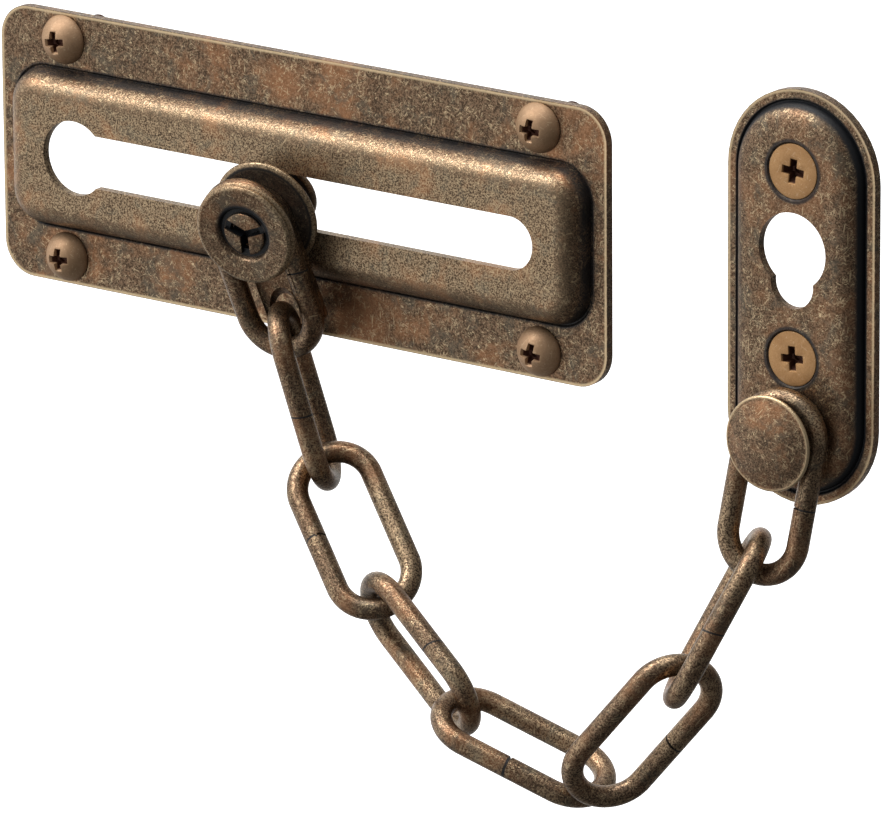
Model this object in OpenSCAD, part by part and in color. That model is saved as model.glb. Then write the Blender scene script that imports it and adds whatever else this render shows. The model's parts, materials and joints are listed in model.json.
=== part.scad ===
/* [Track plate] */
// Length of the track plate, along X
track_length = 95.2; // [94:0.1:98]
// Height of the track plate, along Z
track_height = 36.2; // [35.8:0.1:38]
// Thickness of both pressed plates
sheet = 1.2; // [1:0.1:1.4]
// Radius of the track plate's corners
track_corner = 4.5; // [2:0.1:6]
// Half length of the raised pan, at its crease
pan_half_length = 44.9; // [44:0.1:45.5]
// Half height of the raised pan, at its crease
pan_half_height = 10.2; // [10:0.1:10.6]
// Radius of the pan's corners, at its crease
pan_corner = 4.5; // [4:0.1:6]
// Width of the pan's rolled shoulder
pan_shoulder = 3.2; // [2.8:0.1:3.3]
// Height of the pan's top above the back of the plate
pan_top = 4.6; // [4.5:0.1:4.8]
// Half width of the slot
slot_half = 3.48; // [3.2:0.02:3.6]
// Centre of the slot's right end
slot_end_x = 35.15; // [34:0.05:36]
// Centre of the keyhole
keyhole_x = -33.5; // [-34:0.1:-32]
// Radius of the keyhole
keyhole_r = 4.94; // [4.8:0.02:5.2]

/* [Track screws] */
// Spacing of the track screws along X
screw_spacing_x = 74.7; // [74:0.1:78]
// Spacing of the track screws along Z
screw_spacing_z = 29; // [28.8:0.1:29.2]
// Radius of every screw's shank
shank_r = 1.75; // [1.5:0.05:1.8]
// Radius of the plain part of every shank, inside the plate
shank_plain_r = 1.5; // [1.4:0.05:1.6]
// Length of every screw behind the plates
shank_length = 8; // [6:0.5:14]
// Radius of a pan head
pan_head_r = 3.3; // [3:0.05:3.35]
// Height of a pan head
pan_head_h = 2.5; // [2:0.1:2.6]

/* [Keeper plate] */
// Centre of the keeper plate along X
keeper_x = 76.5; // [76:0.1:84]
// Centre of the keeper plate along Z
keeper_z = -1; // [-1.4:0.1:-0.6]
// Half width of the keeper plate
keeper_half_width = 10.8; // [10.6:0.1:12]
// Half height of the keeper plate
keeper_half_height = 26.4; // [26:0.1:28]
// Half width of its raised centre, at the crease
boss_half_width = 9; // [8.9:0.05:9.2]
// Width of the raised centre's shoulder
boss_shoulder = 3.5; // [3.2:0.1:3.7]
// Height of the raised centre above the back of the plate
boss_top = 3.2; // [3.1:0.05:3.3]
// Height of the keeper's upper screw
upper_screw_z = 15.5; // [15.3:0.1:16]
// Height of the keeper's lower screw
lower_screw_z = -8.3; // [-8.4:0.1:-8]
// Radius of a countersunk head
csk_head_r = 3.5; // [3.3:0.05:3.55]
// Height of the keyhole's wide upper lobe
upper_lobe_z = 5.4; // [5:0.1:5.6]
// Radius of the upper lobe
upper_lobe_r = 4.9; // [4.5:0.1:5]
// Height of the keyhole's narrow lower lobe
lower_lobe_z = 1.2; // [1:0.1:2]
// Radius of the lower lobe
lower_lobe_r = 3.1; // [2.8:0.1:3.3]

/* [Keeper stud] */
// Height of the keeper stud's axis
stud_z = -17.8; // [-18:0.1:-17.6]
// Radius of the stud's head
stud_head_r = 6.1; // [5.8:0.1:6.2]
// Radius of the stud's neck
stud_neck_r = 1.8; // [1.7:0.05:1.85]
// Distance of the head's back face from the wall
stud_head_back = 8; // [7.9:0.1:8.2]

/* [Slider] */
// Where the slider's axis crosses the slot
slider_at = [-1.2, -4, -0.9];
// Downward pitch of the slider's nose
slider_pitch = 12; // [11.5:0.5:12]
// Turn of the slider's nose to the right
slider_yaw = 7; // [6.5:0.5:7]
// Radius of the front washer
front_washer_r = 6.9; // [6.5:0.1:7]
// Radius of the rear washer
rear_washer_r = 7.3; // [6.9:0.1:7.3]
// Radius of the rivet's neck in the slot
neck_r = 2.3; // [2:0.05:2.35]
// Radius of the rivet's rear flange, which passes only the keyhole
flange_r = 4.2; // [3.9:0.1:4.3]
// Radius of the rivet's shank in the link
rivet_shank_r = 2.1; // [1.8:0.05:2.1]

/* [Chain] */
// Outside length of a link
link_length = 25.2; // [25.2:0.1:25.4]
// Outside width of a link
link_width = 12.6; // [12.5:0.1:12.7]
// Diameter of the wire
wire = 2.8; // [2.6:0.05:2.8]
// Places of the hanging links, from the slider to the keeper: centre x, y, z,
// then the turn of the long axis from +X, the lean and the roll, in degrees
link_places = [
    [-0.2, -8.6, -8.2, -77, 13.3, 4],
    [4.8, -6.9, -24.6, -75, 6, -62],
    [14, -9, -40.2, -47, -16, 44],
    [26.8, -12.6, -53.2, -35, -10, -29],
    [43.2, -13.4, -62.2, -23, 15, 82],
    [61.4, -13.6, -56.4, 53, 13, -50],
    [70.2, -10, -41, 71, 24, 61],
    [75.8, -6.3, -24, 83, 7, -5]
];

/* [Tongue] */
// Width of the tongue's strip
tongue_width = 8.6; // [8:0.1:8.8]
// Length of the tongue, from the rivet's axis
tongue_length = 14.9; // [14.5:0.1:15.1]
// Radius of the notch over the second link's wire
notch_r = 2.2; // [2.1:0.05:2.25]

/* [Hidden] */
$fn = 64;

// Clearance between a screw and its hole or seat
play = 0.1;
// Stations along the slider's axis, forward from the slot
flange_from = -2.8;
flange_to = -1.8;
rear_washer_from = 2.6;
rear_washer_to = 3.5;
tongue_from = 3.6;
tongue_to = 4.5;
front_washer_from = 7.7;
front_washer_floor = 8.5;
front_washer_to = 9.2;
rivet_end = 9;
// Counterbore of the front washer, and the rivet's spread end in it
counterbore_r = 3.5;
rivet_end_r = 2.9;
// Turn of the tongue about the slider's axis, which follows the first link
tongue_turn = 14;
// Where the second link's wire crosses the tongue, and the wire's slope there
notch_at = [1.8, -13.9, 4.05];
notch_slope = 54.6;
// Link geometry: radius of the bend, and half the straight leg
bend_r = (link_width - wire) / 2;
leg_half = (link_length - link_width) / 2;
// Keeper screw seats: slope of the cone, and sheet left round it
seat_depth = 2.1;
seat_wall = 0.9;

BRASS = [0.43, 0.33, 0.23];
SCREW_BRASS = [0.62, 0.46, 0.30];

// ---- Shared shapes. Plates are drawn in X and Z, and depth runs along -Y. ----

// Turns a shape drawn on XY, with depth along +Z, so that its depth runs along -Y
module face_front() {
    rotate([90, 0, 0]) children();
}

// Rounded rectangle from its half sizes and corner radius
module rounded(half_x, half_z, r) {
    square([2 * half_x, 2 * (half_z - r)], center = true);
    square([2 * (half_x - r), 2 * half_z], center = true);
    for (sx = [-1, 1], sz = [-1, 1])
        translate([sx * (half_x - r), sz * (half_z - r)]) circle(r);
}

// Section of a pressed shoulder: u runs outward from the flat top's edge
module shoulder_section(run, top) {
    rise = top - sheet;
    bend = (run * run + rise * rise) / (2 * rise);
    difference() {
        intersection() {
            translate([0, top - bend]) circle(bend);
            square([run, top]);
        }
        translate([0, top - bend]) circle(bend - sheet);
        translate([-1, -1]) square([bend - sheet + 1, max(0, top - bend) + 1]);
    }
}

// Straight shoulder of a pan, centred, with its outside towards +Y of the drawing
module straight_shoulder(run, top, long) {
    translate([-long / 2, 0, 0]) rotate([90, 0, 90])
        linear_extrude(height = long) shoulder_section(run, top);
}

// Shoulder all round a rounded rectangle given by its crease
module shoulder_ring(half_x, half_z, r, run, top) {
    flat_r = r - run;
    long_x = 2 * (half_x - r);
    long_z = 2 * (half_z - r);
    for (side = [0, 180]) rotate(side) {
        translate([0, half_z - run, 0]) straight_shoulder(run, top, long_x);
        if (long_z > 0.01)
            rotate(-90) translate([0, half_x - run, 0]) straight_shoulder(run, top, long_z);
    }
    for (corner = [[1, 1, 0], [-1, 1, 90], [-1, -1, 180], [1, -1, 270]])
        translate([corner[0] * long_x / 2, corner[1] * long_z / 2, 0])
            rotate(corner[2]) rotate_extrude(angle = 90)
                translate([flat_r, 0]) shoulder_section(run, top);
}

// Half-ring shoulder round each end of an obround, with straight sides
module obround_shoulder(half_x, half_z, run, top) {
    long_z = 2 * (half_z - half_x);
    for (side = [90, -90])
        rotate(side) translate([0, half_x - run, 0]) straight_shoulder(run, top, long_z);
    for (side = [0, 180])
        rotate(side) translate([0, long_z / 2, 0]) rotate_extrude(angle = 180)
            translate([half_x - run, 0]) shoulder_section(run, top);
}

// Phillips recess cut down from height 0
module phillips(wide, deep) {
    arm = 0.75;
    for (turn = [0, 90])
        rotate(turn) translate([-wide / 2, -arm / 2, -deep]) cube([wide, arm, deep + 2]);
    translate([0, 0, -deep - 0.3]) cylinder(h = deep + 2.3, r1 = 0.5, r2 = 1.2);
}

// ---- Plates ----

module slot_outline() {
    translate([keyhole_x, -slot_half]) square([slot_end_x - keyhole_x, 2 * slot_half]);
    translate([slot_end_x, 0]) circle(slot_half);
    translate([keyhole_x, 0]) circle(keyhole_r);
}

module track_plate() {
    window = pan_shoulder - 0.5;
    color(BRASS) face_front() {
        linear_extrude(height = sheet) difference() {
            rounded(track_length / 2, track_height / 2, track_corner);
            rounded(pan_half_length - pan_shoulder + window,
                    pan_half_height - pan_shoulder + window, pan_corner - pan_shoulder + window);
            for (sx = [-1, 1], sz = [-1, 1])
                translate([sx * screw_spacing_x / 2, sz * screw_spacing_z / 2])
                    circle(shank_r + play);
        }
        shoulder_ring(pan_half_length, pan_half_height, pan_corner, pan_shoulder, pan_top);
        translate([0, 0, pan_top - sheet]) linear_extrude(height = sheet) difference() {
            rounded(pan_half_length - pan_shoulder, pan_half_height - pan_shoulder,
                    pan_corner - pan_shoulder);
            slot_outline();
        }
    }
}

module obround(half_x, half_z) {
    square([2 * half_x, 2 * (half_z - half_x)], center = true);
    for (side = [-1, 1]) translate([0, side * (half_z - half_x)]) circle(half_x);
}

// Dished seat of a countersunk screw: a solid cone wall, or the space inside it
module seat_wall_cone() {
    translate([0, 0, boss_top - seat_depth - 0.6])
        cylinder(h = seat_depth + 0.6, r1 = shank_r + seat_wall, r2 = csk_head_r + seat_wall + 0.3);
}

module seat_space() {
    translate([0, 0, boss_top - seat_depth])
        cylinder(h = seat_depth, r1 = shank_r + play, r2 = csk_head_r + 0.25);
    cylinder(h = 2 * boss_top, r = shank_r + play);
    translate([0, 0, boss_top]) cylinder(h = 1, r = csk_head_r + 0.25);
}

module keeper_plate() {
    window = boss_shoulder - 0.5;
    boss_half_height = keeper_half_height - keeper_half_width + boss_half_width;
    screw_heights = [upper_screw_z - keeper_z, lower_screw_z - keeper_z];
    color(BRASS) translate([keeper_x, 0, keeper_z]) face_front() difference() {
        union() {
            linear_extrude(height = sheet) difference() {
                obround(keeper_half_width, keeper_half_height);
                obround(boss_half_width - boss_shoulder + window,
                        boss_half_height - boss_shoulder + window);
            }
            obround_shoulder(boss_half_width, boss_half_height, boss_shoulder, boss_top);
            translate([0, 0, boss_top - sheet]) linear_extrude(height = sheet)
                obround(boss_half_width - boss_shoulder, boss_half_height - boss_shoulder);
            for (z = screw_heights) translate([0, z, 0]) seat_wall_cone();
        }
        for (z = screw_heights) translate([0, z, 0]) seat_space();
        for (lobe = [[upper_lobe_z, upper_lobe_r], [lower_lobe_z, lower_lobe_r]])
            translate([0, lobe[0] - keeper_z, -1]) cylinder(h = 2 * boss_top + 1, r = lobe[1]);
        translate([0, stud_z - keeper_z, -1]) cylinder(h = 2 * boss_top + 1, r = stud_neck_r);
    }
}

// ---- Screws ----

module pan_screw(sx, sz) {
    dome_r = (pan_head_r * pan_head_r + pan_head_h * pan_head_h) / (2 * pan_head_h);
    color(SCREW_BRASS)
        translate([sx * screw_spacing_x / 2, -sheet, sz * screw_spacing_z / 2]) face_front()
            difference() {
                union() {
                    intersection() {
                        cylinder(h = pan_head_h, r = pan_head_r);
                        translate([0, 0, pan_head_h - dome_r]) sphere(dome_r);
                    }
                    translate([0, 0, -sheet]) cylinder(h = sheet, r = shank_plain_r);
                    translate([0, 0, -sheet - shank_length]) cylinder(h = shank_length, r = shank_r);
                }
                translate([0, 0, pan_head_h]) rotate(6) phillips(3.4, 1.1);
            }
}

module csk_screw(height) {
    head_face = boss_top - 0.1;
    color(SCREW_BRASS) translate([keeper_x, 0, height]) face_front() difference() {
        union() {
            translate([0, 0, head_face - seat_depth + 0.1])
                cylinder(h = seat_depth - 0.1, r1 = shank_plain_r, r2 = csk_head_r);
            cylinder(h = head_face - seat_depth + 0.1, r = shank_plain_r);
            translate([0, 0, -shank_length]) cylinder(h = shank_length, r = shank_r);
        }
        translate([0, 0, head_face]) rotate(6) phillips(3.2, 1.0);
    }
}

module track_screw_upper_left() { pan_screw(-1, 1); }
module track_screw_upper_right() { pan_screw(1, 1); }
module track_screw_lower_left() { pan_screw(-1, -1); }
module track_screw_lower_right() { pan_screw(1, -1); }
module keeper_screw_upper() { csk_screw(upper_screw_z); }
module keeper_screw_lower() { csk_screw(lower_screw_z); }

// ---- Keeper stud: head, neck and the tail spread behind the sheet ----

module keeper_stud() {
    rim = 0.6;
    crown = 1.1;
    color(BRASS) translate([keeper_x, 0, stud_z]) face_front() {
        translate([0, 0, boss_top - sheet - 0.8]) cylinder(h = 0.8, r = 3.6);
        translate([0, 0, boss_top - sheet - 0.4])
            cylinder(h = stud_head_back - boss_top + sheet + 0.8, r = stud_neck_r);
        translate([0, 0, stud_head_back]) cylinder(h = rim, r = stud_head_r);
        translate([0, 0, stud_head_back + rim])
            cylinder(h = crown, r1 = stud_head_r - 1, r2 = 0.8);
    }
}

// ---- Slider: everything is coaxial with its tilted axis ----

module on_slider_axis() {
    translate(slider_at) rotate([slider_pitch, 0, slider_yaw]) face_front() children();
}

module disc(from, to, r) {
    translate([0, 0, from]) cylinder(h = to - from, r = r);
}

module slider_rivet() {
    color(BRASS) on_slider_axis() difference() {
        union() {
            disc(flange_from, flange_to, flange_r);
            disc(flange_from + 0.2, rear_washer_to + 0.05, neck_r);
            disc(rear_washer_to, front_washer_floor + 0.1, rivet_shank_r);
            disc(front_washer_floor, rivet_end, rivet_end_r);
        }
        for (turn = [20, 155, 270])
            rotate(turn) translate([0, -0.45, rivet_end - 0.4]) cube([4, 0.9, 1]);
    }
}

module slider_rear_washer() {
    color(BRASS) on_slider_axis() difference() {
        disc(rear_washer_from, rear_washer_to, rear_washer_r);
        disc(rear_washer_from - 1, rear_washer_to + 1, neck_r + 0.08);
    }
}

module slider_front_washer() {
    color(BRASS) on_slider_axis() difference() {
        disc(front_washer_from, front_washer_to, front_washer_r);
        disc(front_washer_floor, front_washer_to + 1, counterbore_r);
        disc(front_washer_from - 1, front_washer_to, rivet_shank_r);
    }
}

module slider_tongue() {
    color(BRASS) on_slider_axis() difference() {
        rotate(tongue_turn) translate([0, 0, tongue_from])
            linear_extrude(height = tongue_to - tongue_from) {
                circle(tongue_width / 2);
                translate([-tongue_width / 2, -tongue_length]) square([tongue_width, tongue_length]);
            }
        disc(tongue_from - 1, tongue_to + 1, rivet_shank_r + 0.1);
        translate(notch_at) rotate([-notch_slope, 0, 0]) cylinder(h = 12, r = notch_r, center = true);
    }
}

// ---- Chain ----

module bent_end() {
    translate([leg_half, 0, 0]) rotate(-90) rotate_extrude(angle = 180)
        translate([bend_r, 0]) circle(wire / 2);
}

// One link, long axis X, width along Z
module chain_link(number) {
    place = link_places[number - 1];
    color(BRASS) translate([place[0], place[1], place[2]]) rotate([0, -place[3], 0])
        rotate([0, 0, place[4]]) rotate([90 - place[5], 0, 0]) {
            for (turn = [0, 180]) rotate(turn) bent_end();
            for (side = [-1, 1])
                translate([-leg_half, side * bend_r, 0]) rotate([0, 90, 0])
                    cylinder(h = 2 * leg_half, r = wire / 2);
        }
}

module link_1() { chain_link(1); }
module link_2() { chain_link(2); }
module link_3() { chain_link(3); }
module link_4() { chain_link(4); }
module link_5() { chain_link(5); }
module link_6() { chain_link(6); }
module link_7() { chain_link(7); }
module link_8() { chain_link(8); }

track_plate();
track_screw_upper_left();
track_screw_upper_right();
track_screw_lower_left();
track_screw_lower_right();
keeper_plate();
keeper_screw_upper();
keeper_screw_lower();
keeper_stud();
slider_rivet();
slider_rear_washer();
slider_front_washer();
slider_tongue();
link_1();
link_2();
link_3();
link_4();
link_5();
link_6();
link_7();
link_8();
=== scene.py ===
import json
import math

import bmesh
import bpy
import numpy as np
from mathutils import Matrix, Vector


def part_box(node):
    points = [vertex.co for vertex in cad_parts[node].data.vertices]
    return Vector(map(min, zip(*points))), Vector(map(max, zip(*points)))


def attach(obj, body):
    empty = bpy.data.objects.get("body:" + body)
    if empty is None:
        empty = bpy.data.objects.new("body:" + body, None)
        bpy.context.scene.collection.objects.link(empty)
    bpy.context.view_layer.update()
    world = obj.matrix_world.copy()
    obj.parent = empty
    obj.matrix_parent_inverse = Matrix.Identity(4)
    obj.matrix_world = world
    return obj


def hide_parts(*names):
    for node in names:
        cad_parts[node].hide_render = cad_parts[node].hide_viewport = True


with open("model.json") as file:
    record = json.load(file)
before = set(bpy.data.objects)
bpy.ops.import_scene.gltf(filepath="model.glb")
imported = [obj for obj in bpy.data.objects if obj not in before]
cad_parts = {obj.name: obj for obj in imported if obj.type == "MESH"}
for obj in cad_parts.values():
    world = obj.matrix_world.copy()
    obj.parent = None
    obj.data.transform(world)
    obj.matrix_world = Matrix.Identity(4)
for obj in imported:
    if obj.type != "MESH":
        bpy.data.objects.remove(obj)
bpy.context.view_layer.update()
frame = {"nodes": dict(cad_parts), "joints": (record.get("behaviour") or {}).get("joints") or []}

mm = 0.001

# The studio: the guard hangs in the air over a pale floor, seen from the right and a little above
# through a very long lens. A key light stands high at the left and a long light hangs overhead. The
# camera sees the room plain white, but what the room sheds on the guard is brightest at the left.
view_turn = math.radians(35.993)
view_tilt = math.radians(17.154)
view_roll = math.radians(-0.417)
view_centre = Vector((21.3, 0, -24.85)) * mm
view_distance = 1226.1 * mm

towards_camera = Vector((math.sin(view_turn) * math.cos(view_tilt),
                         -math.cos(view_turn) * math.cos(view_tilt), math.sin(view_tilt)))
level_right = Vector((math.cos(view_turn), math.sin(view_turn), 0))
level_up = towards_camera.cross(level_right)
right = math.cos(view_roll) * level_right + math.sin(view_roll) * level_up
up = towards_camera.cross(right)
camera_data = bpy.data.cameras.new("camera")
camera_data.sensor_width = 36
camera_data.lens = 395.48
camera = bpy.data.objects.new("camera", camera_data)
bpy.context.scene.collection.objects.link(camera)
turn = Matrix((right, up, towards_camera)).transposed()
camera.matrix_world = Matrix.Translation(view_centre + towards_camera * view_distance) @ turn.to_4x4()
bpy.context.scene.camera = camera
bpy.context.scene.view_settings.view_transform = "Standard"


def soft_light(name, place, size, power, colour):
    lamp = bpy.data.lights.new(name, "AREA")
    lamp.shape = "RECTANGLE"
    lamp.size, lamp.size_y = size
    lamp.energy = power
    lamp.color = colour
    stand = bpy.data.objects.new(name, lamp)
    bpy.context.scene.collection.objects.link(stand)
    aim = view_centre - Vector(place)
    stand.matrix_world = Matrix.Translation(place) @ aim.to_track_quat("-Z", "Y").to_matrix().to_4x4()


soft_light("key_light", (-0.40, -0.42, 0.62), (0.40, 0.30), 4.2, (1, 0.97, 0.95))
soft_light("top_light", (-0.05, -0.1, 0.75), (0.6, 0.12), 2.2, (1, 0.98, 0.97))

world = bpy.data.worlds.new("white_room")
bpy.context.scene.world = world
world.use_nodes = True
room = world.node_tree
room.nodes.clear()
room_out = room.nodes.new("ShaderNodeOutputWorld")
seen_white = room.nodes.new("ShaderNodeBackground")
seen_white.inputs["Color"].default_value = (1, 1, 1, 1)
lit_grey = room.nodes.new("ShaderNodeBackground")
room_mix = room.nodes.new("ShaderNodeMixShader")
ray_kind = room.nodes.new("ShaderNodeLightPath")
direction = room.nodes.new("ShaderNodeTexCoord")
split = room.nodes.new("ShaderNodeSeparateXYZ")
room.links.new(direction.outputs["Generated"], split.inputs[0])


def brightness(axis, low, high, dim, bright):
    """How bright the room is, going from dim to bright along one axis."""
    node = room.nodes.new("ShaderNodeMapRange")
    node.interpolation_type = "SMOOTHSTEP"
    for socket, number in (("From Min", low), ("From Max", high), ("To Min", dim), ("To Max", bright)):
        node.inputs[socket].default_value = number
    room.links.new(split.outputs[axis], node.inputs["Value"])
    return node.outputs["Result"]


left_wall = room.nodes.new("ShaderNodeMath")
left_wall.operation = "MULTIPLY"
room.links.new(brightness("X", 0.45, -0.7, 0, 1.25), left_wall.inputs[0])
room.links.new(brightness("Z", -0.95, -0.25, 0.15, 1), left_wall.inputs[1])
whole_room = room.nodes.new("ShaderNodeMath")
whole_room.operation = "ADD"
room.links.new(left_wall.outputs[0], whole_room.inputs[0])
room.links.new(brightness("Z", -0.3, 0.9, 0.16, 0.45), whole_room.inputs[1])
room.links.new(whole_room.outputs[0], lit_grey.inputs["Strength"])
room.links.new(ray_kind.outputs["Is Camera Ray"], room_mix.inputs[0])
room.links.new(lit_grey.outputs[0], room_mix.inputs[1])
room.links.new(seen_white.outputs[0], room_mix.inputs[2])
room.links.new(room_mix.outputs[0], room_out.inputs["Surface"])

bpy.ops.mesh.primitive_plane_add(size=6, location=(0, 0, -0.25))
floor = bpy.context.object
floor.name = "floor"
floor_paint = bpy.data.materials.new("pale_floor")
floor_paint.use_nodes = True
floor_shader = floor_paint.node_tree.nodes["Principled BSDF"]
floor_shader.inputs["Base Color"].default_value = (0.93, 0.93, 0.93, 1)
floor_shader.inputs["Roughness"].default_value = 0.9
floor_shader.inputs["Emission Color"].default_value = (1, 1, 1, 1)
floor_shader.inputs["Emission Strength"].default_value = 0.75
floor.data.materials.append(floor_paint)
floor.visible_diffuse = False
floor.visible_glossy = False


# The track plate: brass sheet 1.2 mm thick, pressed into a raised pan with rolled shoulders, with a
# keyhole and a long slot through the pan's top. It is antiqued nearly black, then tumbled, so that
# the paint stays in the crease round the pan and gold shows through in curls and along the edges.
sheet = 1.2 * mm
track_low, track_high = (Vector(corner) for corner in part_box("track_plate"))
track_half_x = (track_high.x - track_low.x) / 2
track_half_z = (track_high.z - track_low.z) / 2
track_corner = 4.5 * mm
pan_half_x = 44.9 * mm
pan_half_z = 10.2 * mm
pan_corner = 4.5 * mm
pan_run = 3.2 * mm
shoulder_inset = 1.6 * mm
slot_half = 3.48 * mm
slot_end_x = 35.15 * mm
keyhole_x = -33.5 * mm
keyhole_r = 4.94 * mm
screw_hole_r = 1.85 * mm


def only(piece):
    if bpy.context.object and bpy.context.object.mode != "OBJECT":
        bpy.ops.object.mode_set(mode="OBJECT")
    bpy.ops.object.select_all(action="DESELECT")
    piece.select_set(True)
    bpy.context.view_layer.objects.active = piece


def pick(kind, test):
    """Selects the vertices, edges or faces of the piece in edit mode that pass the test."""
    bpy.ops.mesh.select_mode(type=kind)
    bpy.ops.mesh.select_all(action="DESELECT")
    mesh = bpy.context.object.data
    shape = bmesh.from_edit_mesh(mesh)
    for part in {"VERT": shape.verts, "EDGE": shape.edges, "FACE": shape.faces}[kind]:
        if test(part):
            part.select_set(True)
    bmesh.update_edit_mesh(mesh)


def rounded_blank(name, half_x, half_z, corner, depth):
    """A flat blank with rounded corners that faces the room from the given depth."""
    bpy.ops.object.select_all(action="DESELECT")
    bpy.ops.mesh.primitive_plane_add(size=2, rotation=(math.radians(90), 0, 0))
    blank = bpy.context.object
    blank.name = name
    blank.location = (0, -depth, 0)
    blank.scale = (half_x, half_z, 1)
    bpy.ops.object.transform_apply()
    bpy.ops.object.mode_set(mode="EDIT")
    bpy.ops.mesh.select_all(action="SELECT")
    bpy.ops.mesh.bevel(offset_type="OFFSET", offset=corner, segments=12, profile=0.5, affect="VERTICES")
    bpy.ops.mesh.remove_doubles(threshold=0.01 * mm)
    bpy.ops.object.mode_set(mode="OBJECT")
    return blank


def finish_modifier(piece, kind, **settings):
    """Adds one modifier to the piece and applies it."""
    only(piece)
    modifier = piece.modifiers.new(kind.lower(), kind)
    for key, value in settings.items():
        setattr(modifier, key, value)
    bpy.ops.object.modifier_apply(modifier=modifier.name)


def flatten_back(piece):
    """Presses whatever bulges behind the wall plane back on to it."""
    only(piece)
    bpy.ops.object.mode_set(mode="EDIT")
    pick("VERT", lambda vert: vert.co.y > 0)
    bpy.ops.transform.resize(value=(1, 0, 1), center_override=(0, 0, 0))
    bpy.ops.object.mode_set(mode="OBJECT")


def cut(piece, cutter, operation="DIFFERENCE"):
    """Cuts the piece with a closed shape, or joins the shape to it, and throws the shape away."""
    finish_modifier(piece, "BOOLEAN", object=cutter, operation=operation, solver="EXACT", use_self=True)
    bpy.data.objects.remove(cutter)


def drill(piece, x, z, r, low=-12, high=12, end_r=None, sides=64):
    """Cuts a round hole along Y, straight, or a cone that ends at end_r towards the wall."""
    bpy.ops.object.select_all(action="DESELECT")
    bpy.ops.mesh.primitive_cone_add(vertices=sides, radius1=r, radius2=r if end_r is None else end_r,
                                    depth=(high - low) * mm, rotation=(math.radians(-90), 0, 0),
                                    location=(x, (low + high) / 2 * mm, z))
    bpy.ops.object.transform_apply()
    cut(piece, bpy.context.object)


def soften_edges(piece, width, angle=35, segments=2):
    """Rubs the sharp edges down and shades the piece, flat faces staying flat."""
    finish_modifier(piece, "BEVEL", limit_method="ANGLE", angle_limit=math.radians(angle), width=width,
                    segments=segments, use_clamp_overlap=True)
    only(piece)
    bpy.ops.object.shade_smooth_by_angle(angle=math.radians(38))
    finish_modifier(piece, "WEIGHTED_NORMAL", keep_sharp=True, weight=80)


def press_shoulder(run, rise, groove, groove_depth):
    """Insets the picked face step by step: a stained groove, then a shoulder rolled up to the flat."""
    bpy.ops.mesh.inset(thickness=groove * 0.4, depth=-groove_depth)
    bpy.ops.mesh.inset(thickness=groove * 0.3, depth=0)
    steps = 12
    start = (0.0, -groove_depth)
    for step in range(1, steps + 1):
        angle = math.radians(90 * step / steps)
        place = (run * (1 - math.cos(angle)), (rise + groove_depth) * math.sin(angle) - groove_depth)
        bpy.ops.mesh.inset(thickness=max(place[0] - start[0], 0.005 * mm), depth=place[1] - start[1])
        start = place


def group_tree(name, inputs, outputs):
    """An empty shader node group with named float or vector sockets."""
    tree = bpy.data.node_groups.new(name, "ShaderNodeTree")
    for socket, kind in inputs.items():
        tree.interface.new_socket(name=socket, in_out="INPUT", socket_type="NodeSocket" + kind)
    for socket, kind in outputs.items():
        tree.interface.new_socket(name=socket, in_out="OUTPUT", socket_type="NodeSocket" + kind)
    return tree, tree.nodes.new("NodeGroupInput"), tree.nodes.new("NodeGroupOutput")


def noise(tree, vector, scale, detail=2.0, distortion=0.0, roughness=0.5):
    node = tree.nodes.new("ShaderNodeTexNoise")
    node.inputs["Scale"].default_value = scale
    node.inputs["Detail"].default_value = detail
    node.inputs["Distortion"].default_value = distortion
    node.inputs["Roughness"].default_value = roughness
    tree.links.new(vector, node.inputs["Vector"])
    return node.outputs["Fac"]


def ramp(tree, value, low, high, to_low=0.0, to_high=1.0):
    """Maps low..high smoothly on to to_low..to_high."""
    node = tree.nodes.new("ShaderNodeMapRange")
    node.interpolation_type = "SMOOTHSTEP"
    for socket, number in (("From Min", low), ("From Max", high), ("To Min", to_low), ("To Max", to_high)):
        node.inputs[socket].default_value = number
    tree.links.new(value, node.inputs["Value"])
    return node.outputs["Result"]


def sums(tree, operation, first, second=0.0, third=None):
    """One step of arithmetic on sockets or plain numbers."""
    node = tree.nodes.new("ShaderNodeMath")
    node.operation = operation
    for index, value in enumerate((first, second, third)):
        if value is None:
            continue
        if isinstance(value, (int, float)):
            node.inputs[index].default_value = value
        else:
            tree.links.new(value, node.inputs[index])
    return node.outputs[0]


def times(tree, first, second):
    return sums(tree, "MULTIPLY", first, second)


def larger(tree, first, second):
    return sums(tree, "MAXIMUM", first, second)


def moved(tree, vector, offset=(0, 0, 0), scale=(1, 1, 1), turned_by=(0, 0, 0)):
    """Moves, turns and stretches the pattern itself."""
    node = tree.nodes.new("ShaderNodeMapping")
    node.vector_type = "TEXTURE"
    node.inputs["Location"].default_value = offset
    node.inputs["Scale"].default_value = scale
    node.inputs["Rotation"].default_value = [math.radians(angle) for angle in turned_by]
    tree.links.new(vector, node.inputs["Vector"])
    return node.outputs[0]


# Tumbling marks: gold curls where the dark coat is rubbed through, hair scratches, a fine grain,
# and soft clouds of copper warmth and of grey-green patina.
tumbled, tumbled_in, tumbled_out = group_tree(
    "tumbled_marks", {"Place": "Vector"},
    {"Curls": "Float", "Hairs": "Float", "Grain": "Float", "Warmth": "Float", "Patina": "Float"})
place = tumbled_in.outputs["Place"]
curl_field = noise(tumbled, place, 1500, 3, 1.2)
off_middle = sums(tumbled, "ABSOLUTE", sums(tumbled, "SUBTRACT", curl_field, 0.5))
curl_line = ramp(tumbled, off_middle, 0.0, 0.030, 1, 0)
curl_patch = ramp(tumbled, noise(tumbled, moved(tumbled, place, (0.3, 0.1, 0.2)), 1100, 2), 0.48, 0.62)
tumbled.links.new(times(tumbled, curl_line, curl_patch), tumbled_out.inputs["Curls"])
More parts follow.
